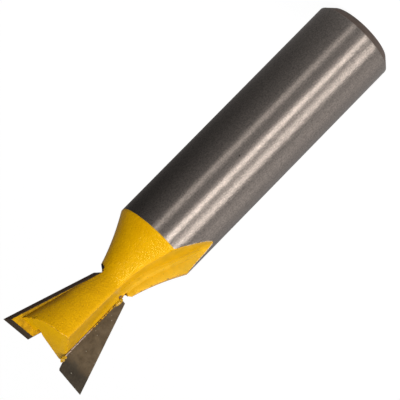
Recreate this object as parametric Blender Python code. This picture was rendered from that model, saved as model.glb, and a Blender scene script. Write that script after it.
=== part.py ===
"""Dovetail router cutter: a turned steel body with two brazed carbide tips.

Metres, +Z up. The cutter stands on the flat end of its shank, with the origin at the centre of that
face and +Z along the axis towards the tips. Seen from -Y with the tips up, the tip on the left
turns its rake face to the viewer, and the other is the same tip turned half round the axis.
A place on the tip side is given as (distance from the axis, height), with the rake face in the
plane y = 0 and depth counted behind it.
"""

import math

import bmesh
import bpy
from mathutils import Matrix, Vector

# Shank
SHANK_DIAMETER = 0.012
SHANK_LENGTH = 0.0398
SHANK_CHAMFER = 0.0012
LACQUER_PAST_SHOULDER = 0.0002

# Flare, neck and head of the turned blank, from the shoulder to the corners of the tips
HEAD_LENGTH = 0.0212
FLARE_START_ANGLE = math.radians(29.5)
FLARE_LENGTH = 0.0069
NECK_PAST_EDGE = 0.00013
NECK_BLEND_RADIUS = 0.003
HEAD_CLEARANCE_ANGLE = math.radians(4.0)

# Carbide tips
CUTTING_DIAMETER = 0.014
DOVETAIL_ANGLE = math.radians(18.0)
CUTTING_LENGTH = 0.0127
TIP_THICKNESS = 0.0017
TIP_NARROW_WIDTH = 0.00077
TIP_TOP_ANGLE = math.radians(35.0)
FLANK_RELIEF = math.radians(16.0)
END_RELIEF = math.radians(13.5)
END_DISH = math.radians(5.0)
GASH_WALL_ANGLE = math.radians(17.0)
GASH_WALL_SET_OUT = 0.00075

# Braze between a tip and its seat
BRAZE_THICKNESS = 0.0001
BRAZE_SET_BACK = 0.00005
FIT_GAP = 0.00002

# Flutes: a slanted floor, a round root and a wall, which run out on the shank
FLUTE_ROOT_SET_IN = 0.0006
FLUTE_LEAN = math.radians(3.6)
FLUTE_FLOOR_SLANT = math.radians(16.0)
FLUTE_ROOT_RADIUS = 0.001
RUNOUT_ABOVE_EDGE = 0.0002
RUNOUT_RADIUS = 0.014
RUNOUT_ANGLE = math.radians(21.3)
WALL_BEND_ABOVE_EDGE = 0.0021
WALL_ANGLE = math.radians(8.0)

# Round notch that frees the upper end of each seat
NOTCH_RADIUS = 0.00062
NOTCH_SET_OUT = 0.0003
NOTCH_PAST_TIP = 0.00075
NOTCH_TURN = math.radians(10.7)

# Ground end of the body: a relief plane behind each tip and a gash in front of it
END_SET_BACK = 0.0007
END_SLOPE = math.tan(math.radians(25.2))
GASH_SET_BACK = 0.00173
GASH_SLOPE = math.tan(math.radians(26.2))
GASH_DIRECTION = math.radians(38.5)

# Mesh fineness
TURNED_SIDES = 96
FLARE_STEPS = 12
BLEND_STEPS = 6
ROOT_STEPS = 6
RUNOUT_STEPS = 9

BARE, LACQUERED = 0, 1

shank_radius = SHANK_DIAMETER / 2
tip_radius = CUTTING_DIAMETER / 2
overall_length = SHANK_LENGTH + HEAD_LENGTH
tip_corner = Vector((tip_radius, overall_length))
edge_end = tip_corner - CUTTING_LENGTH * Vector((math.tan(DOVETAIL_ANGLE), 1.0))
tip_inner_edge = edge_end.x - TIP_NARROW_WIDTH
flute_root = tip_inner_edge - FLUTE_ROOT_SET_IN
gash_wall = tip_inner_edge + GASH_WALL_SET_OUT
past_the_part = SHANK_DIAMETER + CUTTING_DIAMETER
half_turn = Matrix.Rotation(math.pi, 4, "Z")


def clear_scene():
    for thing in list(bpy.data.objects):
        bpy.data.objects.remove(thing, do_unlink=True)


def finish(name, colour, metallic, roughness):
    material = bpy.data.materials.new(name)
    material.use_nodes = True
    shader = material.node_tree.nodes["Principled BSDF"]
    shader.inputs["Base Color"].default_value = (*colour, 1.0)
    shader.inputs["Metallic"].default_value = metallic
    shader.inputs["Roughness"].default_value = roughness
    return material


def add_object(name, shape, materials):
    """An object made from a bmesh, with its faces turned outwards."""
    bmesh.ops.recalc_face_normals(shape, faces=shape.faces)
    mesh = bpy.data.meshes.new(name)
    shape.to_mesh(mesh)
    shape.free()
    for material in materials:
        mesh.materials.append(material)
    thing = bpy.data.objects.new(name, mesh)
    bpy.context.scene.collection.objects.link(thing)
    return thing


def shade(thing, angle):
    thing.data.shade_smooth()
    thing.data.set_sharp_from_angle(angle=angle)


def loft(loops):
    """A closed solid through loops of as many points each, with flat ends."""
    shape = bmesh.new()
    rings = [[shape.verts.new(point) for point in loop] for loop in loops]
    for lower, upper in zip(rings, rings[1:]):
        for i in range(len(lower)):
            j = (i + 1) % len(lower)
            shape.faces.new((lower[i], lower[j], upper[j], upper[i]))
    shape.faces.new(rings[0])
    shape.faces.new(rings[-1])
    return shape


def blank_profile():
    """The turned outline as (radius, height), from the end face's centre up to the head's.

    The flare is a parabola that leaves the shoulder at its start angle and ends at the neck.
    """
    points = [
        (0.0, 0.0),
        (shank_radius - SHANK_CHAMFER, 0.0),
        (shank_radius, SHANK_CHAMFER),
        (shank_radius, SHANK_LENGTH - LACQUER_PAST_SHOULDER),
    ]
    start_slope = math.tan(FLARE_START_ANGLE)
    narrowing = shank_radius - (edge_end.x + NECK_PAST_EDGE)
    bend = (start_slope * FLARE_LENGTH - narrowing) / FLARE_LENGTH**2
    for i in range(FLARE_STEPS + 1):
        along = FLARE_LENGTH * i / FLARE_STEPS
        points.append((shank_radius - start_slope * along + bend * along**2, SHANK_LENGTH + along))
    flare_end = points[-1]
    end_angle = math.atan(start_slope - 2 * bend * FLARE_LENGTH)
    head_angle = DOVETAIL_ANGLE - HEAD_CLEARANCE_ANGLE
    for i in range(1, BLEND_STEPS + 1):
        angle = end_angle - (end_angle + head_angle) * i / BLEND_STEPS
        radius = flare_end[0] - NECK_BLEND_RADIUS * (math.cos(angle) - math.cos(end_angle))
        height = flare_end[1] + NECK_BLEND_RADIUS * (math.sin(end_angle) - math.sin(angle))
        points.append((radius, height))
    neck_end = points[-1]
    head_radius = neck_end[0] + (overall_length - neck_end[1]) * math.tan(head_angle)
    points += [(head_radius, overall_length), (0.0, overall_length)]
    return points


def turned_blank(materials):
    """The blank spun round the axis. Its faces above the shoulder carry the lacquer."""
    shape = bmesh.new()
    corners = [shape.verts.new((radius, 0.0, height)) for radius, height in blank_profile()]
    for pair in zip(corners, corners[1:]):
        shape.edges.new(pair)
    bmesh.ops.spin(
        shape,
        geom=shape.verts[:] + shape.edges[:],
        axis=(0.0, 0.0, 1.0),
        cent=(0.0, 0.0, 0.0),
        angle=2 * math.pi,
        steps=TURNED_SIDES,
        use_merge=True,
    )
    bmesh.ops.remove_doubles(shape, verts=shape.verts, dist=1e-7)
    lacquer_from = SHANK_LENGTH - LACQUER_PAST_SHOULDER
    for face in shape.faces:
        if face.calc_center_median().z > lacquer_from:
            face.material_index = LACQUERED
    return add_object("cutter_body", shape, materials)


def flute_path():
    """The root's (distance from the axis, height) and the wall's y, from past the tips to the run-out."""
    run_out_height = edge_end.y + RUNOUT_ABOVE_EDGE
    bend_height = edge_end.y + WALL_BEND_ABOVE_EDGE
    heights = [overall_length + TIP_THICKNESS, bend_height]
    path = [
        (flute_root + (height - run_out_height) * math.tan(FLUTE_LEAN), height)
        for height in heights
    ]
    for i in range(RUNOUT_STEPS + 1):
        angle = -FLUTE_LEAN + (RUNOUT_ANGLE + FLUTE_LEAN) * i / RUNOUT_STEPS
        outwards = RUNOUT_RADIUS * (math.cos(FLUTE_LEAN) - math.cos(angle))
        downwards = RUNOUT_RADIUS * (math.sin(angle) + math.sin(FLUTE_LEAN))
        path.append((flute_root + outwards, run_out_height - downwards))
    clear_of_shank = shank_radius + 2 * FLUTE_ROOT_RADIUS
    last_out, last_height = path[-1]
    path.append((clear_of_shank, last_height - (clear_of_shank - last_out) / math.tan(RUNOUT_ANGLE)))
    slope = math.tan(WALL_ANGLE)
    return [(out, height, -slope * max(0.0, bend_height - height)) for out, height in path]


def flute_section(root, height, wall):
    """One level section of a flute: along the wall, round the root and up the slanted floor."""
    corner = Vector((-root, wall))
    along_wall = Vector((-1.0, 0.0))
    along_floor = Vector((math.sin(FLUTE_FLOOR_SLANT), -math.cos(FLUTE_FLOOR_SLANT)))
    half_angle = (math.pi / 2 + FLUTE_FLOOR_SLANT) / 2
    middle = (along_wall + along_floor).normalized()
    centre = corner + middle * FLUTE_ROOT_RADIUS / math.sin(half_angle)
    turn = math.pi - 2 * half_angle
    from_wall = Vector((0.0, FLUTE_ROOT_RADIUS))
    points = [corner + along_wall * past_the_part]
    for i in range(ROOT_STEPS + 1):
        points.append(centre + Matrix.Rotation(-turn * i / ROOT_STEPS, 2) @ from_wall)
    floor_end = corner + along_floor * past_the_part
    points += [floor_end, Vector((-root - past_the_part, floor_end.y))]
    return [(point.x, point.y, height) for point in points]


def flute_cutter(materials):
    loops = [flute_section(*station) for station in flute_path()]
    return add_object("flute_cutter", loft(loops), materials)


def crossing(first, second):
    """Where two lines meet, each given by a normal and its offset along it."""
    (a, b), (c, d) = first[0], second[0]
    spread = a * d - b * c
    x = (first[1] * d - b * second[1]) / spread
    z = (a * second[1] - c * first[1]) / spread
    return Vector((x, z))


def tip_outline(depth, inner, drop, past_edges, gashed):
    """A tip's outline at a depth behind its rake face, as (distance from the axis, height).

    inner is its inner edge, drop lowers its shank end, and past_edges moves the ground edges out.
    """
    flank_normal = Vector((math.cos(DOVETAIL_ANGLE), -math.sin(DOVETAIL_ANGLE)))
    end_normal = Vector((-math.sin(END_DISH), math.cos(END_DISH)))
    inner_normal = Vector((-1.0, 0.0))
    top_normal = Vector((math.sin(TIP_TOP_ANGLE), -math.cos(TIP_TOP_ANGLE)))
    gash_normal = Vector((-math.cos(GASH_WALL_ANGLE), math.sin(GASH_WALL_ANGLE)))
    gash_end = Vector((gash_wall, overall_length - (tip_radius - gash_wall) * math.tan(END_DISH)))
    flank = (flank_normal, flank_normal.dot(tip_corner) + past_edges - depth * math.tan(FLANK_RELIEF))
    end = (end_normal, end_normal.dot(tip_corner) + past_edges - depth * math.tan(END_RELIEF))
    inner_edge = (inner_normal, -inner)
    top = (top_normal, top_normal.dot(edge_end) + drop)
    gash = (gash_normal, gash_normal.dot(gash_end))
    corners = [crossing(flank, end)]
    if gashed:
        corners += [crossing(end, gash), crossing(gash, inner_edge)]
    else:
        corners += [crossing(end, inner_edge)]
    return corners + [crossing(inner_edge, top), crossing(top, flank)]


def tip_solid(front, back, inner, drop=0.0, past_edges=0.0, gashed=True):
    """The space of a tip between two depths, on the -X side with the rake face to -Y."""
    loops = []
    for depth in (front, back):
        outline = tip_outline(depth, inner, drop, past_edges, gashed)
        loops.append([(-corner.x, depth, corner.y) for corner in outline])
    return loft(loops)


def carbide_tip(materials):
    thing = add_object("carbide_tip_1", tip_solid(0.0, TIP_THICKNESS, tip_inner_edge), materials)
    shade(thing, math.radians(20))
    return thing


def braze_layer(materials):
    """An L-shaped film that fills the joint behind a tip and along its inner edge."""
    inner = tip_inner_edge - FIT_GAP
    back = TIP_THICKNESS + FIT_GAP
    thing = add_object(
        "braze_layer_1",
        tip_solid(
            BRAZE_SET_BACK,
            back + BRAZE_THICKNESS,
            inner - BRAZE_THICKNESS,
            drop=-2 * FIT_GAP,
            past_edges=-BRAZE_SET_BACK,
        ),
        materials,
    )
    core = add_object(
        "tip_room",
        tip_solid(
            -BRAZE_THICKNESS,
            back,
            inner,
            drop=TIP_THICKNESS,
            past_edges=TIP_THICKNESS,
            gashed=False,
        ),
        [],
    )
    cut_away(thing, core)
    return thing


def seat_cutter(materials):
    """The pocket that a tip and its braze sit in, open to the flute, the flank and the end."""
    step = 2 * FIT_GAP + BRAZE_THICKNESS
    shape = tip_solid(
        -TIP_THICKNESS,
        TIP_THICKNESS + step,
        tip_inner_edge - step,
        drop=NOTCH_PAST_TIP / 2,
        past_edges=past_the_part,
        gashed=False,
    )
    return add_object("seat_cutter", shape, materials)


def notch_cutter(materials):
    """A slot with a round inner end, milled through the lobe just past the tip's shank end."""
    height = edge_end.y - NOTCH_PAST_TIP
    centre = tip_inner_edge + NOTCH_SET_OUT
    outline = [(past_the_part, height + NOTCH_RADIUS), (past_the_part, height - NOTCH_RADIUS)]
    for i in range(2 * ROOT_STEPS + 1):
        angle = -math.pi / 2 - math.pi * i / (2 * ROOT_STEPS)
        outline.append(
            (
                centre + NOTCH_RADIUS * math.cos(angle),
                height + NOTCH_RADIUS * math.sin(angle),
            )
        )
    loops = []
    for depth in (-TIP_THICKNESS, past_the_part):
        outwards = depth * math.tan(NOTCH_TURN)
        loops.append([(-out - outwards, depth, level) for out, level in outline])
    return add_object("notch_cutter", loft(loops), materials)


def block_above(name, low, high, level, materials):
    """A block over a sloping plane. level gives the plane's height at x and y."""
    corners = [(low.x, low.y), (high.x, low.y), (high.x, high.y), (low.x, high.y)]
    bottom = [(x, y, level(x, y)) for x, y in corners]
    top = [(x, y, overall_length + past_the_part) for x, y in corners]
    return add_object(name, loft([bottom, top]), materials)


def end_relief_cutter(materials):
    """Grinds the end behind the tip on the +X side, falling away towards -Y."""
    ridge = overall_length - END_SET_BACK
    return block_above(
        "end_relief_cutter",
        Vector((-past_the_part, -past_the_part)),
        Vector((past_the_part, past_the_part)),
        lambda x, y: ridge + END_SLOPE * y,
        materials,
    )


def gash_cutter(materials):
    """Opens the end in front of the tip on the -X side, with its wall at that tip's inner edge."""
    centre = overall_length - GASH_SET_BACK
    slope_x = GASH_SLOPE * math.cos(GASH_DIRECTION)
    slope_y = GASH_SLOPE * math.sin(GASH_DIRECTION)
    return block_above(
        "gash_cutter",
        Vector((-gash_wall, -past_the_part)),
        Vector((past_the_part, past_the_part)),
        lambda x, y: centre + slope_x * x + slope_y * y,
        materials,
    )


def cut_away(thing, cutter):
    cutter.hide_render = True
    cutter.display_type = "WIRE"
    cut = thing.modifiers.new(cutter.name, "BOOLEAN")
    cut.operation = "DIFFERENCE"
    cut.solver = "EXACT"
    cut.object = cutter


def turned_copy(thing, name):
    """The same piece on the other side of the axis. Its modifiers go with it."""
    other = thing.copy()
    other.name = name
    other.matrix_world = half_turn
    bpy.context.scene.collection.objects.link(other)
    return other


def build():
    clear_scene()
    ground_steel = finish("ground_steel", (0.42, 0.40, 0.38), 1.0, 0.32)
    yellow_lacquer = finish("yellow_lacquer", (0.83, 0.47, 0.01), 0.0, 0.35)
    carbide = finish("tungsten_carbide", (0.16, 0.13, 0.10), 0.9, 0.42)
    braze = finish("silver_braze", (0.62, 0.50, 0.34), 1.0, 0.45)
    body_finishes = [ground_steel, yellow_lacquer]

    body = turned_blank(body_finishes)
    for make_cutter in (flute_cutter, seat_cutter, notch_cutter, end_relief_cutter, gash_cutter):
        cutter = make_cutter(body_finishes)
        for face in cutter.data.polygons:
            face.material_index = LACQUERED
        cut_away(body, cutter)
        cut_away(body, turned_copy(cutter, cutter.name + "_turned"))
    shade(body, math.radians(30))

    tip = carbide_tip([carbide])
    turned_copy(tip, "carbide_tip_2")

    film = braze_layer([braze])
    other_film = turned_copy(film, "braze_layer_2")
    core = film.modifiers[0].object
    other_film.modifiers[0].object = turned_copy(core, core.name + "_turned")


build()
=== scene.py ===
"""A dovetail router cutter: ground steel shank, yellow lacquered head and two brazed carbide tips."""

import math

import bpy
from mathutils import Matrix, Vector


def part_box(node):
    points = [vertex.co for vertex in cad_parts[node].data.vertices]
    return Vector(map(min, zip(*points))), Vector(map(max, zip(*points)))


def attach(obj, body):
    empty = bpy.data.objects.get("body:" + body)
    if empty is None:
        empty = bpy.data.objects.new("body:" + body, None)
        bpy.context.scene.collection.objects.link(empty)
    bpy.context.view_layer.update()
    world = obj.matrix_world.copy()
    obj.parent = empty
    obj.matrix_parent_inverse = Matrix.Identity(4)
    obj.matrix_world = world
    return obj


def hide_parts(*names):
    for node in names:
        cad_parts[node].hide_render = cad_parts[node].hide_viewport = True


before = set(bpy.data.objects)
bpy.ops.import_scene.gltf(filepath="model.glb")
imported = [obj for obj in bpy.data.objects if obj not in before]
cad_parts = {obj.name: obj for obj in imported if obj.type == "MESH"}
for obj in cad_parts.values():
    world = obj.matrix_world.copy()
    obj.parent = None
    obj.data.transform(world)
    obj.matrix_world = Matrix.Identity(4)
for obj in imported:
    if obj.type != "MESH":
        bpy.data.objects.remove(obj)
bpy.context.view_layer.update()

# Steel body
# One bar of tool steel, turned to a straight shank, a flare, a slim neck and a head that widens to
# the end. The lacquer starts just below the shoulder. The cuts come in the next sections.

turned_sides = 256
shank_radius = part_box("cutter_body")[1].x
shank_length = 0.0398
shank_chamfer = 0.0012
shank_rings, flare_rings, neck_rings, head_rings = 24, 24, 12, 16
lacquer_start = shank_length - 0.0002
end_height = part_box("carbide_tip_1")[1].z
flare_slope = math.tan(math.radians(29.5))
flare_length = 0.0069
neck_radius = 0.0030035
neck_blend_radius = 0.003
head_angle = math.radians(14)

# Every finish that the body has, so that each cut can leave its own.
steel = bpy.data.materials.new("ground_steel")
lacquer = bpy.data.materials.new("yellow_lacquer")
dull_steel = bpy.data.materials.new("dull_turned_steel")
milled_lacquer = bpy.data.materials.new("lacquer_on_milled_steel")
# Lacquer painted darker as shade, for the ground end.
shaded_end_lacquer = bpy.data.materials.new("lacquer_on_ground_end_painted_darker")
# Lacquer painted brown and near black as shade, for the seats and the notches.
shade_browned_lacquer = bpy.data.materials.new("thin_lacquer_browned_as_painted_shade")
notch_painted_shade = bpy.data.materials.new("notch_painted_shade")
worn_lacquer = bpy.data.materials.new("worn_lacquer_edge")
# Chipped lacquer, with pale spots painted as glints of the bare edge.
chipped_lacquer_with_glint = bpy.data.materials.new("chipped_lacquer_edge_with_painted_glint")
finishes = [
    steel, lacquer, dull_steel, milled_lacquer, shaded_end_lacquer,
    shade_browned_lacquer, notch_painted_shade, worn_lacquer, chipped_lacquer_with_glint,
]


def pick(thing):
    """Makes thing the only object that is selected, and the active one."""
    if bpy.context.mode == "EDIT_MESH":
        bpy.ops.object.mode_set(mode="OBJECT")
    bpy.ops.object.select_all(action="DESELECT")
    thing.select_set(True)
    bpy.context.view_layer.objects.active = thing


def choose(thing, kind, wanted):
    """Selects the faces, edges or vertices of thing that wanted() says yes to, in edit mode."""
    pick(thing)
    bpy.ops.object.mode_set(mode="EDIT")
    bpy.ops.mesh.select_mode(type={"polygons": "FACE", "edges": "EDGE", "vertices": "VERT"}[kind])
    bpy.ops.mesh.select_all(action="DESELECT")
    bpy.ops.object.mode_set(mode="OBJECT")
    for item in getattr(thing.data, kind):
        if wanted(item):
            item.select = True
    bpy.ops.object.mode_set(mode="EDIT")


def face_outwards(thing):
    choose(thing, "polygons", lambda face: True)
    bpy.ops.mesh.normals_make_consistent(inside=False)
    bpy.ops.object.mode_set(mode="OBJECT")


def turned_stations():
    """The turned outline above the end face, as (radius, height)."""
    stations = [(shank_radius, shank_chamfer)]
    for i in range(1, shank_rings + 1):
        stations.append((shank_radius, shank_chamfer + (lacquer_start - shank_chamfer) * i / shank_rings))
    bend = (flare_slope * flare_length - (shank_radius - neck_radius)) / flare_length**2
    for i in range(flare_rings + 1):
        along = flare_length * i / flare_rings
        stations.append((shank_radius - flare_slope * along + bend * along**2, shank_length + along))
    start_radius, start_height = stations[-1]
    start_angle = math.atan(flare_slope - 2 * bend * flare_length)
    for i in range(1, neck_rings + 1):
        angle = start_angle - (start_angle + head_angle) * i / neck_rings
        stations.append((
            start_radius - neck_blend_radius * (math.cos(angle) - math.cos(start_angle)),
            start_height + neck_blend_radius * (math.sin(start_angle) - math.sin(angle)),
        ))
    start_radius, start_height = stations[-1]
    for i in range(1, head_rings + 1):
        height = start_height + (end_height - start_height) * i / head_rings
        stations.append((start_radius + (height - start_height) * math.tan(head_angle), height))
    return stations


bpy.ops.object.select_all(action="DESELECT")
bpy.ops.mesh.primitive_circle_add(
    vertices=turned_sides, radius=shank_radius - shank_chamfer, fill_type="NGON", location=(0, 0, 0)
)
body = bpy.context.object
body.name = "steel_body"
bpy.ops.object.mode_set(mode="EDIT")
bpy.ops.mesh.select_all(action="SELECT")
radius, height = shank_radius - shank_chamfer, 0.0
for next_radius, next_height in turned_stations():
    bpy.ops.mesh.extrude_region_move(TRANSFORM_OT_translate={"value": (0, 0, next_height - height)})
    grow = next_radius / radius
    bpy.ops.transform.resize(value=(grow, grow, 1), center_override=(0, 0, next_height))
    radius, height = next_radius, next_height
face_outwards(body)
for finish in finishes:
    body.data.materials.append(finish)
for face in body.data.polygons:
    if face.center.z > lacquer_start:
        face.material_index = finishes.index(lacquer)
    elif face.center.z < shank_chamfer:
        face.material_index = finishes.index(dull_steel)

# Flutes
# Two chip flutes, milled with a round-nosed cutter along the head and run out on the shank in a
# curve. The floor slants, and the wall lies in the plane of the tip's rake face. The lacquer is
# darkened with dark brown specks along the root beside the shoulder.

cutting_length = 0.0127
cutting_radius = 0.007
dovetail_angle = math.radians(18)
edge_end = Vector((
    cutting_radius - cutting_length * math.tan(dovetail_angle), 0, end_height - cutting_length
))
tip_narrow_width = 0.00077
tip_inner_edge = edge_end.x - tip_narrow_width
root_at_neck = tip_inner_edge - 0.0006
root_radius = 0.001
flute_lean = math.radians(3.6)
floor_slant = math.radians(16)
runout_height = edge_end.z + 0.0002
runout_radius = 0.014
runout_angle = math.radians(21.3)
wall_bend_height = edge_end.z + 0.0021
wall_slope = math.tan(math.radians(8))
runout_steps = 24
flute_overrun = 0.0017
past_the_part = 0.026
root_specks_from, root_specks_to = 0.0395, 0.0465
root_specks_way_from, root_specks_way_to = 55, 61


def flute_stations():
    """Where the root's corner passes, as (x, y, height), from above the end to past the run-out."""
    places = []
    for height in (end_height + flute_overrun, 0.5 * (end_height + wall_bend_height), wall_bend_height):
        places.append((-root_at_neck - (height - runout_height) * math.tan(flute_lean), height))
    for i in range(runout_steps + 1):
        angle = -flute_lean + (runout_angle + flute_lean) * i / runout_steps
        places.append((
            -root_at_neck - runout_radius * (math.cos(flute_lean) - math.cos(angle)),
            runout_height - runout_radius * (math.sin(angle) + math.sin(flute_lean)),
        ))
    clear = shank_radius + 2 * root_radius
    places.append((-clear, places[-1][1] - (clear + places[-1][0]) / math.tan(runout_angle)))
    return [(x, -wall_slope * max(0.0, wall_bend_height - height), height) for x, height in places]


def coat(cutter, finish):
    """Gives the cutter one finish all over, which the cut then leaves on the body."""
    for other in finishes:
        cutter.data.materials.append(other)
    for face in cutter.data.polygons:
        face.material_index = finishes.index(finish)


def cut_turned(thing, cutter, turn):
    """Takes the cutter's space out of thing, with the cutter turned round the axis by an angle."""
    cutter.matrix_world = Matrix.Rotation(turn, 4, "Z")
    pick(thing)
    cut = thing.modifiers.new("cut", "BOOLEAN")
    cut.solver = "EXACT"
    cut.object = cutter
    bpy.ops.object.modifier_apply(modifier="cut")


def cut_both_sides(thing, cutter):
    for turn in (0.0, math.pi):
        cut_turned(thing, cutter, turn)
    bpy.data.objects.remove(cutter)


start = flute_stations()[0]
bpy.ops.object.select_all(action="DESELECT")
bpy.ops.mesh.primitive_plane_add(
    size=past_the_part,
    location=(start[0] - past_the_part / 2, start[1] - past_the_part / 2, start[2]),
)
flute = bpy.context.object
bpy.ops.object.transform_apply(location=True)
corner = Vector(start)
choose(flute, "vertices", lambda point: point.co.x > start[0] - 1e-6 and point.co.y < start[1] - 1e-3)
bpy.ops.transform.translate(value=(past_the_part * math.tan(floor_slant), 0, 0))
choose(flute, "vertices", lambda point: (point.co - corner).length < 1e-6)
bpy.ops.mesh.bevel(
    offset=root_radius / math.tan((math.pi / 2 + floor_slant) / 2),
    offset_type="OFFSET",
    segments=14,
    affect="VERTICES",
)
bpy.ops.mesh.select_all(action="SELECT")
for here, there in zip(flute_stations(), flute_stations()[1:]):
    step = Vector(there) - Vector(here)
    bpy.ops.mesh.extrude_region_move(TRANSFORM_OT_translate={"value": step})
face_outwards(flute)
coat(flute, milled_lacquer)
for face in flute.data.polygons:
    way = math.degrees(math.atan2(face.normal.x, face.normal.y))
    if root_specks_from < face.center.z < root_specks_to and root_specks_way_from < way < root_specks_way_to:
        face.material_index = finishes.index(worn_lacquer)
cut_both_sides(body, flute)

# Rounded lobe edges
# The edge between a lobe's turned outside and the flute floor is polished round by hand, less so
# near the shoulder, before the seats are cut.

edge_radius = 0.0006
least_edge_radius = 0.00005
edge_growth = 0.22
edge_steps = 8
waste_reach = 0.002


def at_height(places, height):
    """The place on a line of places, each with its height last, at a height."""
    ordered = sorted(places, key=lambda place: place[-1])
    for low, high in zip(ordered, ordered[1:]):
        if low[-1] <= height <= high[-1]:
            share = (height - low[-1]) / (high[-1] - low[-1])
            return [a + (b - a) * share for a, b in zip(low, high)]
    return ordered[-1]


def edge_section(height):
    """The waste outside the rounded edge at a height: an arc and one point clear of the lobe."""
    lobe_radius = at_height(turned_stations(), min(height, end_height))[0]
    lobe_radius += max(0.0, height - end_height) * math.tan(head_angle)
    root_x, root_y, _ = at_height(flute_stations(), height)
    radius = min(edge_radius, least_edge_radius + edge_growth * (height - shank_length))
    into_body = Vector((math.cos(floor_slant), math.sin(floor_slant)))
    down_floor = Vector((math.sin(floor_slant), -math.cos(floor_slant)))
    start = Vector((root_x, root_y)) + radius * into_body
    along = start.dot(down_floor)
    reach = math.sqrt(along**2 - start.length_squared + (lobe_radius - radius) ** 2) - along
    centre = start + reach * down_floor
    first = math.atan2(-into_body.y, -into_body.x)
    last = math.atan2(centre.y, centre.x)
    turn = (last - first) % (2 * math.pi)
    section = []
    for i in range(edge_steps + 1):
        angle = first + turn * i / edge_steps
        section.append((centre.x + radius * math.cos(angle), centre.y + radius * math.sin(angle), height))
    angle = first + turn / 2
    section.append((
        centre.x + waste_reach * math.cos(angle), centre.y + waste_reach * math.sin(angle), height
    ))
    return section


heights = [height for radius, height in turned_stations() if height > shank_length + 0.0001]
heights.append(end_height + 0.001)
points = [point for height in heights for point in edge_section(height)]
count = edge_steps + 2
sides = [
    (low + i, low + (i + 1) % count, low + count + (i + 1) % count, low + count + i)
    for low in range(0, (len(heights) - 1) * count, count)
    for i in range(count)
]
ends = [tuple(range(count)), tuple(range((len(heights) - 1) * count, len(heights) * count))]
waste_mesh = bpy.data.meshes.new("edge_waste")
waste_mesh.from_pydata(points, [], sides + ends)
waste = bpy.data.objects.new("edge_waste", waste_mesh)
bpy.context.scene.collection.objects.link(waste)
face_outwards(waste)
coat(waste, lacquer)
cut_both_sides(body, waste)

# Seats and notches
# A flat-bottomed seat holds each tip. A slot with a round bottom crosses the lobe just past the
# tip's narrow end, so that the grinding wheel can run out there.

tip_thickness = 0.0017
seat_room = 0.00014
seat_gap = 0.000375
narrow_end_angle = math.radians(35)
narrow_end_slope = math.tan(narrow_end_angle)
seat_low = edge_end.z - seat_gap / math.cos(narrow_end_angle)
seat_low -= (tip_narrow_width + seat_room) * narrow_end_slope


def block(low, high):
    """A plain block between two corners, to be cut away from the body."""
    bpy.ops.object.select_all(action="DESELECT")
    bpy.ops.mesh.primitive_cube_add(size=1, location=(low + high) / 2, scale=high - low)
    bpy.ops.object.transform_apply(location=True, scale=True)
    return bpy.context.object


seat = block(
    Vector((-past_the_part, -tip_thickness, seat_low)),
    Vector((seat_room - tip_inner_edge, tip_thickness + seat_room, end_height + past_the_part)),
)
choose(seat, "vertices", lambda point: point.co.x < -past_the_part / 2 and point.co.z < seat_low + 1e-6)
bpy.ops.transform.translate(value=(0, 0, (past_the_part - tip_inner_edge) * narrow_end_slope))
bpy.ops.object.mode_set(mode="OBJECT")
coat(seat, shade_browned_lacquer)
cut_both_sides(body, seat)

# Each notch is ground by hand: its turn round the axis, the radius of its round bottom, how far that
# is from the axis, its height, how far it drifts outwards and down towards the back, the angles at
# which it opens below and above, and the finish that covers it, darkened as painted shade.
notches = (
    (0.0, 0.00038, 0.00213, 0.04805, 10.7, 20, 36, 0, shade_browned_lacquer),
    (math.pi, 0.00035, 0.00260, 0.04745, 3.0, 6, 38, 48, notch_painted_shade),
)
for turn, notch_radius, reach, notch_height, outwards, sink, below, above, finish in notches:
    bpy.ops.object.select_all(action="DESELECT")
    bpy.ops.mesh.primitive_cylinder_add(
        vertices=64,
        radius=notch_radius,
        depth=past_the_part + tip_thickness,
        location=(-reach, (past_the_part - tip_thickness) / 2, notch_height),
        rotation=(math.pi / 2, 0, 0),
    )
    notch = bpy.context.object
    bpy.ops.object.transform_apply(location=True, rotation=True)
    for side, angle in ((-1, math.radians(below)), (1, math.radians(above))):
        way = Vector((-math.cos(angle), 0, side * math.sin(angle)))
        middle = Vector((-reach, 0, notch_height))
        choose(
            notch, "vertices",
            lambda point: side * (point.co.z - notch_height) > -1e-9 and way.dot(point.co - middle) > 1e-7,
        )
        bpy.ops.transform.translate(value=past_the_part * way)
    for back, drift in ((True, past_the_part), (False, -tip_thickness)):
        choose(notch, "vertices", lambda point: (point.co.y > 0) == back)
        bpy.ops.transform.translate(value=(
            -drift * math.tan(math.radians(outwards)), 0, -drift * math.tan(math.radians(sink))
        ))
    bpy.ops.object.mode_set(mode="OBJECT")
    coat(notch, finish)
    cut_turned(body, notch, turn)
    bpy.data.objects.remove(notch)

# Ground end
# The end of each lobe is ground away behind its tip, and a gash opens the end in front of the tip.
# Both leave flat facets that meet in a ridge across the middle. Then all edges are softened.

gash_wall = tip_inner_edge + 0.00075
relief_depth = 0.0007
relief_slope = math.tan(math.radians(25.2))
gash_depth = 0.00173
gash_slope = math.tan(math.radians(26.2))
gash_turn = math.radians(38.5)
edge_softness = 0.00007
chipped_below = 0.0385
whole_coats = ((lacquer_start - 0.0003, 0.0405), (0.0475, 0.0568))


def tilt_bottom(cutter, slope_x, slope_y):
    """Makes the cutter's bottom a sloping plane through its middle height."""
    bottom = min(point.co.z for point in cutter.data.vertices)
    corners = [point.co.copy() for point in cutter.data.vertices if point.co.z < bottom + 1e-6]
    for corner in corners:
        choose(cutter, "vertices", lambda point: (point.co - corner).length < 1e-6)
        bpy.ops.transform.translate(value=(0, 0, slope_x * corner.x + slope_y * corner.y))
    bpy.ops.object.mode_set(mode="OBJECT")


end_relief = block(
    Vector((-past_the_part, -past_the_part, end_height - relief_depth)),
    Vector((past_the_part, past_the_part, end_height + past_the_part)),
)
tilt_bottom(end_relief, 0.0, relief_slope)
# The end facets take the lacquer that is painted darker as shade.
coat(end_relief, shaded_end_lacquer)
cut_both_sides(body, end_relief)

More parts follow.
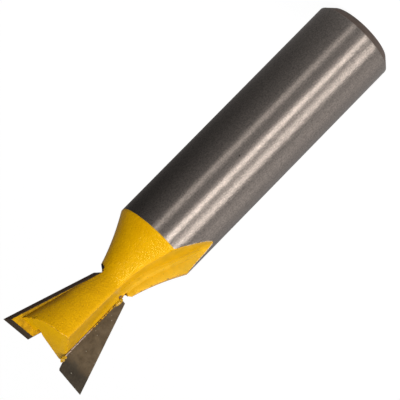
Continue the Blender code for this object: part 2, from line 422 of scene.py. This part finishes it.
gash = block(
    Vector((-gash_wall, -past_the_part, end_height - gash_depth)),
    Vector((past_the_part, past_the_part, end_height + past_the_part)),
)
tilt_bottom(gash, gash_slope * math.cos(gash_turn), gash_slope * math.sin(gash_turn))
coat(gash, shaded_end_lacquer)
cut_both_sides(body, gash)

pick(body)
bpy.ops.object.mode_set(mode="EDIT")
bpy.ops.mesh.select_all(action="SELECT")
bpy.ops.mesh.remove_doubles(threshold=1e-5)
bpy.ops.mesh.dissolve_degenerate(threshold=5e-6)
bpy.ops.object.mode_set(mode="OBJECT")
softened = body.modifiers.new("softened_edges", "BEVEL")
softened.width = edge_softness
softened.segments = 3
softened.limit_method = "ANGLE"
softened.angle_limit = math.radians(25)
softened.use_clamp_overlap = False
softened.material = finishes.index(worn_lacquer)
pick(body)
bpy.ops.object.modifier_apply(modifier="softened_edges")
for face in body.data.polygons:
    if face.material_index == finishes.index(worn_lacquer):
        height = face.center.z
        if height < shank_radius:
            face.material_index = finishes.index(steel)
        elif height < chipped_below:
            face.material_index = finishes.index(chipped_lacquer_with_glint)
        elif any(low < height < high for low, high in whole_coats):
            face.material_index = finishes.index(lacquer)
bpy.ops.object.shade_smooth_by_angle(angle=math.radians(35))
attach(body, "root")
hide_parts("cutter_body")

# Ground steel finish
# Cylindrical grinding leaves fine rings round the shank, so that a lamp shows as a long streak. The
# surface is a little grainy from tumbling and has one small nick. The chamfer is turned and dull.

nick_place = (0.00014, -shank_radius, 0.0248)
nick_outside = 0.00017
nick_inside = 0.00006


def feed(tree, socket, value):
    """Links an output to the socket, or sets a plain value on it."""
    if isinstance(value, bpy.types.NodeSocket):
        tree.links.new(value, socket)
    else:
        socket.default_value = value


def dress(tree, node, **values):
    """Feeds the node's sockets by name."""
    for name, value in values.items():
        feed(tree, node.inputs[name.replace("_", " ")], value)


def add_node(tree, kind, **settings):
    """A node with its own settings set by name, and its sockets fed by name."""
    node = tree.nodes.new(kind)
    for name, value in settings.items():
        if hasattr(node, name):
            setattr(node, name, value)
        else:
            dress(tree, node, **{name: value})
    return node


def maths(tree, operation, *terms, kind="ShaderNodeMath", result="Value"):
    """The result of a maths node over its terms in order."""
    node = add_node(tree, kind, operation=operation)
    for socket, term in zip(node.inputs, terms):
        feed(tree, socket, term)
    return node.outputs[result]


def vector_maths(tree, operation, *terms, result="Vector"):
    return maths(tree, operation, *terms, kind="ShaderNodeVectorMath", result=result)


def remap(tree, value, **ranges):
    """A value taken from one range to another, with the ranges named as on the node."""
    return add_node(tree, "ShaderNodeMapRange", Value=value, **ranges).outputs["Result"]


def noise(tree, place, scale, detail, roughness):
    """Noise over the place, from 0 to 1."""
    return add_node(
        tree, "ShaderNodeTexNoise", Vector=place, Scale=scale, Detail=detail, Roughness=roughness
    ).outputs["Fac"]


def cells(tree, place, scale):
    """How far the place is from the nearest of many scattered dots."""
    return add_node(
        tree, "ShaderNodeTexVoronoi", Vector=place, Scale=scale, Randomness=1.0
    ).outputs["Distance"]


def ramp(tree, stops, source):
    """A colour ramp over source, with stops as (position, colour)."""
    node = tree.nodes.new("ShaderNodeValToRGB")
    elements = node.color_ramp.elements
    while len(elements) < len(stops):
        elements.new(0.5)
    for element, (position, colour) in zip(elements, stops):
        element.position = position
        element.color = (*colour, 1)
    tree.links.new(source, node.inputs["Fac"])
    return node.outputs["Color"]


def mix(tree, share, under, over):
    """One colour over another, by a share from 0 to 1."""
    return add_node(
        tree, "ShaderNodeMix", data_type="RGBA", Factor=share, A=under, B=over
    ).outputs["Result"]


def relief(tree, height, depth, strength=1.0, invert=False):
    """Lets a pattern stand out of the surface by a depth."""
    return add_node(
        tree, "ShaderNodeBump", invert=invert, Strength=strength, Distance=depth, Height=height
    ).outputs["Normal"]


def start_finish(finish):
    """The finish's nodes, its shader and the place on the object."""
    finish.use_nodes = True
    tree = finish.node_tree
    place = add_node(tree, "ShaderNodeTexCoord").outputs["Object"]
    return tree, tree.nodes["Principled BSDF"], place


tree, shader, place = start_finish(steel)
rings = add_node(tree, "ShaderNodeMapping", vector_type="POINT", Vector=place, Scale=(300, 300, 9000))
ring_marks = noise(tree, rings.outputs["Vector"], 1.0, 2.0, 0.6)
grain = noise(tree, place, 5000.0, 3.0, 0.7)
tone = ramp(tree, [(0.36, (0.30, 0.266, 0.243)), (0.64, (0.52, 0.460, 0.421))], grain)
from_nick = vector_maths(tree, "DISTANCE", place, nick_place, result="Value")
nicked = remap(
    tree, from_nick, interpolation_type="SMOOTHSTEP", From_Min=nick_outside, From_Max=nick_inside
)
turning = add_node(tree, "ShaderNodeTangent", direction_type="RADIAL", axis="Z")
dress(
    tree, shader,
    Base_Color=mix(tree, nicked, tone, (0.13, 0.11, 0.10, 1)),
    Normal=relief(tree, maths(tree, "ADD", ring_marks, grain), 0.000013),
    Tangent=turning.outputs["Tangent"],
    Metallic=1.0,
    Roughness=0.37,
    Anisotropic=1.0,
    Anisotropic_Rotation=0.25,
)

tree, shader, place = start_finish(dull_steel)
tool_marks = noise(tree, place, 1500.0, 4.0, 0.6)
tone = ramp(tree, [(0.3, (0.20, 0.150, 0.125)), (0.7, (0.27, 0.205, 0.172))], tool_marks)
dress(tree, shader, Base_Color=tone, Metallic=0.9, Roughness=0.55)

# Yellow lacquer finish
# Sprayed on after brazing: glossy, a little orange-peeled, with fine dark specks of dust and swarf.
# It lies thinner and duller on the milled flutes and the ground end than on the turned outside, and on the
# ground end it is also painted darker, as shade.

dust_scale = 1700.0
peel_scale = 4200.0


def spray_lacquer(finish, thin, thick, cloud_scale, peel_depth, roughness):
    """Lacquer from a thin to a thick tone, with an orange peel of a depth; returns what to link."""
    tree, shader, place = start_finish(finish)
    yellow = ramp(tree, [(0.3, thin), (0.7, thick)], noise(tree, place, cloud_scale, 6.0, 0.72))
    dust = ramp(tree, [(0.04, (0.8, 0.8, 0.8)), (0.10, (0, 0, 0))], cells(tree, place, dust_scale))
    colour = mix(tree, dust, yellow, (0.13, 0.06, 0.002, 1))
    domes = maths(tree, "POWER", cells(tree, place, peel_scale), 2.0)
    dress(
        tree, shader,
        Base_Color=colour,
        Normal=relief(tree, domes, peel_depth, invert=True),
        Roughness=roughness,
        Specular_Tint=(1.0, 0.86, 0.24, 1),
    )
    return tree, shader, place, colour


spray_lacquer(milled_lacquer, (0.58, 0.315, 0.0005), (0.82, 0.44, 0.001), 420.0, 0.000006, 0.3)
# The ground end's lacquer is the same lacquer painted darker, as shade on its facets.
spray_lacquer(shaded_end_lacquer, (0.65, 0.355, 0.0005), (0.76, 0.425, 0.001), 700.0, 0.000005, 0.25)
tree, shader, place, colour = spray_lacquer(
    lacquer, (0.79, 0.405, 0.0005), (0.91, 0.49, 0.001), 700.0, 0.000045, 0.1
)

# Painted shade: the coat is darkened to brown on the lobes beside the seats. The limits give how far
# out from the middle, how near the tips and how high this starts, and where it is full.
seat_shade_limits = (("X", 0.0026, 0.0038), ("Y", 0.0036, 0.0018), ("Z", 0.0470, 0.0490))
parts = add_node(tree, "ShaderNodeSeparateXYZ", Vector=vector_maths(tree, "ABSOLUTE", place)).outputs
in_x, in_y, in_z = [
    remap(tree, parts[axis], interpolation_type="SMOOTHSTEP", From_Min=start, From_Max=full)
    for axis, start, full in seat_shade_limits
]
painted_seat_shade = maths(tree, "MULTIPLY", maths(tree, "MULTIPLY", in_x, in_y), in_z)
dress(tree, shader, Base_Color=mix(tree, painted_seat_shade, colour, (0.30, 0.125, 0.001, 1)))

# Where the coat isn't whole: thin and painted brown as shade in the seats and the first notch,
# painted near black as shade in the second notch, worn along the edges, and chipped at the pointed
# end of each flute.
broken_coats = (
    (shade_browned_lacquer, 2500.0, 3.0, 0.4, [(0.35, (0.14, 0.060, 0.002)), (0.65, (0.36, 0.155, 0.002))]),
    (notch_painted_shade, 3000.0, 3.0, 0.7, [(0.35, (0.008, 0.004, 0.002)), (0.7, (0.040, 0.018, 0.005))]),
    (worn_lacquer, 4000.0, 2.0, 0.3, [(0.54, (0.84, 0.44, 0.001)), (0.64, (0.24, 0.12, 0.003))]),
    # On the chipped edge the dark stop is the chips and the pale stop is a painted glint of the bare
    # steel.
    (chipped_lacquer_with_glint, 4000.0, 2.0, 0.3, [
        (0.42, (0.80, 0.42, 0.002)), (0.50, (0.75, 0.66, 0.50)), (0.60, (0.10, 0.06, 0.02)),
    ]),
)
for finish, scale, detail, roughness, stops in broken_coats:
    tree, shader, place = start_finish(finish)
    tone = ramp(tree, stops, noise(tree, place, scale, detail, 0.6))
    dress(tree, shader, Base_Color=tone, Roughness=roughness)

# Carbide tips
# Two plates of sintered carbide, diamond ground to a sharp edge on the flank and the end. The rake
# face is dull brown-grey, and painted darker towards the end as a dark reflection.

# Painted reflection: from these heights on, the rake face is darkened towards the end, with a wavy edge.
reflection_dark_from = end_height - 0.0016
reflection_dark_to = end_height - 0.0002
reflection_edge_spread = 0.003
side_facing = 0.6
grinding_angle = math.radians(38)
squared_tip_height = edge_end.z - 0.00008

carbide = bpy.data.materials.new("tungsten_carbide")
tree, shader, place = start_finish(carbide)
stain = noise(tree, place, 900.0, 5.0, 0.7)
up = add_node(tree, "ShaderNodeSeparateXYZ", Vector=place).outputs["Z"]
reflection_edge_height = maths(tree, "MULTIPLY_ADD", stain, reflection_edge_spread, up)
painted_reflection_share = remap(tree, reflection_edge_height, interpolation_type="SMOOTHSTEP", From_Min=reflection_dark_from, From_Max=reflection_dark_to)
mottled = ramp(tree, [(0.32, (0.092, 0.066, 0.038)), (0.68, (0.166, 0.124, 0.076))], stain)
dark = ramp(tree, [(0.32, (0.034, 0.027, 0.019)), (0.68, (0.070, 0.057, 0.040))], stain)
tone = mix(tree, painted_reflection_share, mottled, dark)
facing = vector_maths(tree, "ABSOLUTE", add_node(tree, "ShaderNodeTexCoord").outputs["Normal"])
parts = add_node(tree, "ShaderNodeSeparateXYZ", Vector=facing).outputs
for axis, low, high in (
    ("X", (0.105, 0.045, 0.012), (0.185, 0.080, 0.026)),
    ("Z", (0.100, 0.068, 0.040), (0.190, 0.132, 0.080)),
):
    on_side = maths(tree, "GREATER_THAN", parts[axis], side_facing)
    tone = mix(tree, on_side, tone, ramp(tree, [(0.35, low), (0.65, high)], stain))
glints = ramp(tree, [(0.05, (1, 1, 1)), (0.10, (0, 0, 0))], cells(tree, place, 1100.0))
lines = add_node(
    tree, "ShaderNodeMapping",
    vector_type="POINT", Vector=place, Rotation=(0, grinding_angle, 0), Scale=(9000, 500, 500),
)
grinding = noise(tree, lines.outputs["Vector"], 1.0, 2.0, 0.6)
dress(
    tree, shader,
    Base_Color=mix(tree, glints, tone, (0.42, 0.38, 0.30, 1)),
    Normal=relief(tree, grinding, 0.00001, strength=0.6),
    Metallic=0.75,
    Roughness=0.45,
)


def cover(thing, finish):
    """Gives a whole piece one finish."""
    thing.data.materials.clear()
    thing.data.materials.append(finish)


def trimmed_copy(name, node, height):
    """A copy of a CAD node without what reaches below a height, to stand for that node."""
    bpy.ops.object.select_all(action="DESELECT")
    copy = bpy.data.objects.new(name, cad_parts[node].data.copy())
    bpy.context.scene.collection.objects.link(copy)
    choose(copy, "polygons", lambda face: True)
    bpy.ops.mesh.remove_doubles(threshold=1e-6)
    bpy.ops.mesh.bisect(plane_co=(0, 0, height), plane_no=(0, 0, 1), use_fill=True, clear_inner=True)
    face_outwards(copy)
    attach(copy, "root")
    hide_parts(node)
    return copy


cover(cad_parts["carbide_tip_2"], carbide)

# The narrow end of the first tip is ground square where its notch was cut.
square_tip = trimmed_copy("squared_carbide_tip", "carbide_tip_1", squared_tip_height)
cover(square_tip, carbide)

# Braze
# Silver solder fills the joint behind each tip. On the tip's back and beside the notch, where it
# lies open, the lacquer has run thinly over it and dried brown.

squared_braze_height = edge_end.z - 0.00014
open_depth = tip_thickness - 0.0001
open_height = edge_end.z + 0.0002

braze = bpy.data.materials.new("silver_braze")
tree, shader, place = start_finish(braze)
parts = add_node(tree, "ShaderNodeSeparateXYZ", Vector=place).outputs
on_back = maths(tree, "GREATER_THAN", maths(tree, "ABSOLUTE", parts["Y"]), open_depth)
by_notch = maths(tree, "LESS_THAN", parts["Z"], open_height)
streaks = noise(tree, place, 1800.0, 4.0, 0.6)
brown = ramp(tree, [(0.35, (0.44, 0.225, 0.001)), (0.65, (0.70, 0.37, 0.001))], streaks)
silver = ramp(tree, [(0.35, (0.30, 0.22, 0.16)), (0.65, (0.66, 0.52, 0.42))], streaks)
dress(
    tree, shader,
    Base_Color=mix(tree, maths(tree, "MAXIMUM", on_back, by_notch), silver, brown),
    Roughness=0.35,
    Specular_Tint=(1.0, 0.88, 0.3, 1),
)

cover(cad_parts["braze_layer_2"], braze)
square_braze = trimmed_copy("squared_braze_layer", "braze_layer_1", squared_braze_height)
cover(square_braze, braze)

# Braze beads
# Solder squeezed out along the inner edge of each tip stands on the rake side as a lumpy bead, dark
# with flux. Near the neck the lacquer covers it.

bead_radius = 0.00009
bead_low, bead_high = 0.0489, 0.0587
bead_cuts = 80
bead_lumps = 0.00016
lump_size = 0.00035
covered_to, bare_from = 0.0534, 0.0546

stained_braze = bpy.data.materials.new("stained_braze")
tree, shader, place = start_finish(stained_braze)
flux = noise(tree, place, 3600.0, 2.0, 0.6)
bare = ramp(tree, [(0.36, (0.10, 0.06, 0.04)), (0.46, (0.50, 0.38, 0.31))], flux)
covered = ramp(tree, [(0.47, (0.17, 0.080, 0.003)), (0.54, (0.80, 0.43, 0.002))], flux)
up = add_node(tree, "ShaderNodeSeparateXYZ", Vector=place).outputs["Z"]
dress(
    tree, shader,
    Base_Color=mix(tree, remap(tree, up, From_Min=covered_to, From_Max=bare_from), covered, bare),
    Roughness=0.4,
    Specular_Tint=(1.0, 0.9, 0.6, 1),
)

lumps = bpy.data.textures.new("lumps", "CLOUDS")
lumps.noise_scale = lump_size


def make_lumpy(thing, depth):
    lumpy = thing.modifiers.new("lumpy", "DISPLACE")
    lumpy.texture = lumps
    lumpy.strength = depth
    pick(thing)
    bpy.ops.object.modifier_apply(modifier="lumpy")


for number, turn in ((1, 0.0), (2, math.pi)):
    bpy.ops.object.select_all(action="DESELECT")
    bpy.ops.mesh.primitive_cylinder_add(
        vertices=12,
        radius=bead_radius,
        depth=bead_high - bead_low,
        location=(-tip_inner_edge, 0, (bead_low + bead_high) / 2),
    )
    bead = bpy.context.object
    bead.name = f"braze_bead_{number}"
    bpy.ops.object.transform_apply(location=True)
    points = bead.data.vertices
    choose(bead, "edges", lambda e: abs(points[e.vertices[0]].co.z - points[e.vertices[1]].co.z) > 0.001)
    bpy.ops.mesh.subdivide(number_cuts=bead_cuts)
    bpy.ops.object.mode_set(mode="OBJECT")
    make_lumpy(bead, bead_lumps)
    bead.matrix_world = Matrix.Rotation(turn, 4, "Z")
    bpy.ops.object.transform_apply(rotation=True)
    bpy.ops.object.shade_smooth()
    cover(bead, stained_braze)
    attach(bead, "root")

# Lacquer runs
# A drop of lacquer has run together and dried at each end of the first tip's bead. The grinding of
# the notch has cut the inner one flush with the tip.

runs = (
    ("end", Vector((-0.00224, 0.00004, 0.05912)), Vector((0.00062, 0.00011, 0.00125))),
    ("notch", Vector((-0.00220, -0.00001, 0.04870)), Vector((0.00056, 0.00018, 0.0015))),
)
run_lumps = 0.00006
run_cut_height = edge_end.z - 0.0001

dried_run = bpy.data.materials.new("lacquer_run")
tree, shader, place = start_finish(dried_run)
flecks = noise(tree, place, 3000.0, 3.0, 0.6)
tone = ramp(tree, [(0.40, (0.12, 0.06, 0.003)), (0.47, (0.58, 0.335, 0.001))], flecks)
dress(tree, shader, Base_Color=tone, Roughness=0.2)

for place_name, centre, size in runs:
    bpy.ops.object.select_all(action="DESELECT")
    bpy.ops.mesh.primitive_ico_sphere_add(subdivisions=5, radius=0.5, location=centre, scale=size)
    run = bpy.context.object
    run.name = f"lacquer_run_at_{place_name}"
    bpy.ops.object.transform_apply(location=True, scale=True)
    make_lumpy(run, run_lumps)
    choose(run, "polygons", lambda face: True)
    bpy.ops.mesh.bisect(
        plane_co=(0, 0, run_cut_height), plane_no=(0, 0, 1), use_fill=True, clear_inner=True
    )
    bpy.ops.mesh.select_all(action="SELECT")
    bpy.ops.mesh.remove_doubles(threshold=1e-6)
    bpy.ops.object.mode_set(mode="OBJECT")
    run.data.validate()
    bpy.ops.object.shade_smooth()
    cover(run, dried_run)
    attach(run, "root")

# Strip lamps
# Soft lamps round the cutter: the reflections of the strips run along the shank as bright lines,
# and the panel and the side fill widen the light on the -X side.

aim = Vector((-0.00038, 0.0, 0.03144))
lamp_distance = 0.5


def around(azimuth, elevation, distance):
    """A place seen from the aim. Azimuth 0 is -Y and turns towards +X."""
    turn, rise = math.radians(azimuth), math.radians(elevation)
    return aim + distance * Vector((
        math.sin(turn) * math.cos(rise), -math.cos(turn) * math.cos(rise), math.sin(rise)
    ))


def soft_lamp(name, azimuth, elevation, width, height, power):
    lamp = bpy.data.lights.new(name, "AREA")
    lamp.shape = "RECTANGLE"
    lamp.size, lamp.size_y = width, height
    lamp.energy = power
    lamp.color = (1.0, 0.95, 0.9)
    thing = bpy.data.objects.new(name, lamp)
    bpy.context.scene.collection.objects.link(thing)
    thing.visible_camera = False
    thing.location = around(azimuth, elevation, lamp_distance)
    thing.rotation_euler = (aim - thing.location).to_track_quat("-Z", "Y").to_euler()


soft_lamp("left_strip", 24.8, 20, 0.04, 0.4, 0.29)
soft_lamp("middle_strip", -18, 20, 0.042, 0.4, 0.93)
soft_lamp("right_strip", -51.7, 20, 0.035, 0.4, 0.5)
soft_lamp("right_panel", -43.8, 20, 0.09, 0.4, 0.45)
soft_lamp("side_fill", -92, 15, 0.3, 0.24, 0.16)

# Floor
# A plain pale floor. To the eye it glows a little under its shade, so that it looks white with the
# cutter's soft shadow on it, and what the metal mirrors of it is graded from side to side.

dark_side = (0.951, 0.309, 0)
floor_glow = 1.28
glow_share = 0.75


def seen_rays(tree):
    """1 for a ray from the camera, off metal or through glass, and 0 for diffuse light."""
    path = add_node(tree, "ShaderNodeLightPath").outputs
    seen = maths(tree, "MAXIMUM", path["Is Camera Ray"], path["Is Glossy Ray"])
    return maths(tree, "MAXIMUM", seen, path["Is Transmission Ray"])


def graded_light(tree):
    """What the metal mirrors: pale on the -X side, dark on the +X side, less dark near the cutter."""
    place = add_node(tree, "ShaderNodeTexCoord").outputs["Object"]
    level = vector_maths(tree, "MULTIPLY", place, (1, 1, 0))
    off = vector_maths(tree, "LENGTH", level, result="Value")
    near = remap(tree, off, From_Min=0, From_Max=0.15, To_Min=0.25, To_Max=0.025)
    way = vector_maths(tree, "NORMALIZE", level)
    towards_dark = vector_maths(tree, "DOT_PRODUCT", way, dark_side, result="Value")
    return remap(tree, towards_dark, From_Min=-0.7, From_Max=1, To_Min=0.47, To_Max=near)


def start_glow(name):
    """A new material without its shader, for one that glows."""
    material = bpy.data.materials.new(name)
    material.use_nodes = True
    tree = material.node_tree
    tree.nodes.remove(tree.nodes["Principled BSDF"])
    return material, tree, tree.nodes["Material Output"]


bpy.ops.object.select_all(action="DESELECT")
bpy.ops.mesh.primitive_plane_add(size=4)
floor = bpy.context.object
floor.name = "floor"
pale, tree, output = start_glow("pale_floor")
mirrored = add_node(tree, "ShaderNodeLightPath").outputs["Is Glossy Ray"]
level = add_node(
    tree, "ShaderNodeMix", data_type="FLOAT", Factor=mirrored, A=floor_glow, B=graded_light(tree)
)
share = maths(tree, "MULTIPLY", seen_rays(tree), glow_share)
matte = add_node(tree, "ShaderNodeBsdfDiffuse", Color=(0.35, 0.35, 0.35, 1))
glow = add_node(tree, "ShaderNodeEmission", Color=(1, 1, 1, 1), Strength=level.outputs["Result"])
mixed = add_node(tree, "ShaderNodeMixShader", Fac=maths(tree, "MAXIMUM", share, mirrored))
tree.links.new(matte.outputs["BSDF"], mixed.inputs[1])
tree.links.new(glow.outputs["Emission"], mixed.inputs[2])
tree.links.new(mixed.outputs["Shader"], output.inputs["Surface"])
floor.data.materials.append(pale)

# Graded card
# A curved card round the set that only the metal sees, pale on the -X side, dark on the +X side and
# darker towards its top, which gives the shank its dark left half.

bpy.ops.object.select_all(action="DESELECT")
bpy.ops.mesh.primitive_cylinder_add(
    vertices=96, radius=0.9, depth=3, end_fill_type="NGON", location=(0, 0, 0)
)
card = bpy.context.object
card.name = "graded_card"
card.visible_camera = False
card.visible_diffuse = False
card.visible_shadow = False
card.visible_transmission = False
graded, tree, output = start_glow("graded_grey")
place = add_node(tree, "ShaderNodeTexCoord").outputs["Object"]
up = add_node(tree, "ShaderNodeSeparateXYZ", Vector=place).outputs["Z"]
dark_top = remap(tree, up, From_Min=0.3, From_Max=1.0, To_Min=1.0, To_Max=0.25)
strength = maths(tree, "MULTIPLY", graded_light(tree), dark_top)
glow = add_node(tree, "ShaderNodeEmission", Color=(1, 0.93, 0.9, 1), Strength=strength)
tree.links.new(glow.outputs["Emission"], output.inputs["Surface"])
card.data.materials.append(graded)

# Room light
# An even white room, in which the light that falls on the cutter is stronger from the -X side.

world = bpy.data.worlds.new("studio")
bpy.context.scene.world = world
world.use_nodes = True
tree = world.node_tree
skyward = add_node(tree, "ShaderNodeTexCoord").outputs["Generated"]
towards_dark = vector_maths(tree, "DOT_PRODUCT", skyward, dark_side, result="Value")
soft = remap(tree, towards_dark, From_Min=-1, From_Max=1, To_Min=0.62, To_Max=0.16)
dress(
    tree, tree.nodes["Background"],
    Color=(1, 1, 1, 1),
    Strength=remap(tree, seen_rays(tree), To_Min=soft, To_Max=1.0),
)

# Camera
# The photograph's viewpoint, close to level with the rake faces, and turned so that the cutter lies
# slantwise with its tips at the lower left.

camera_azimuth = 1.227
camera_elevation = 11.96
camera_distance = 0.38605
camera_roll = -135.53

lens = bpy.data.cameras.new("camera")
lens.sensor_width = 36
lens.lens = 263.72
lens.clip_start, lens.clip_end = 0.01, 10
camera = bpy.data.objects.new("camera", lens)
bpy.context.scene.collection.objects.link(camera)
camera.matrix_world = (
    Matrix.Translation(around(camera_azimuth, camera_elevation, camera_distance))
    @ Matrix.Rotation(math.radians(camera_azimuth), 4, "Z")
    @ Matrix.Rotation(math.radians(90 - camera_elevation), 4, "X")
    @ Matrix.Rotation(math.radians(camera_roll), 4, "Z")
)
bpy.context.scene.camera = camera
bpy.context.scene.view_settings.view_transform = "Standard"
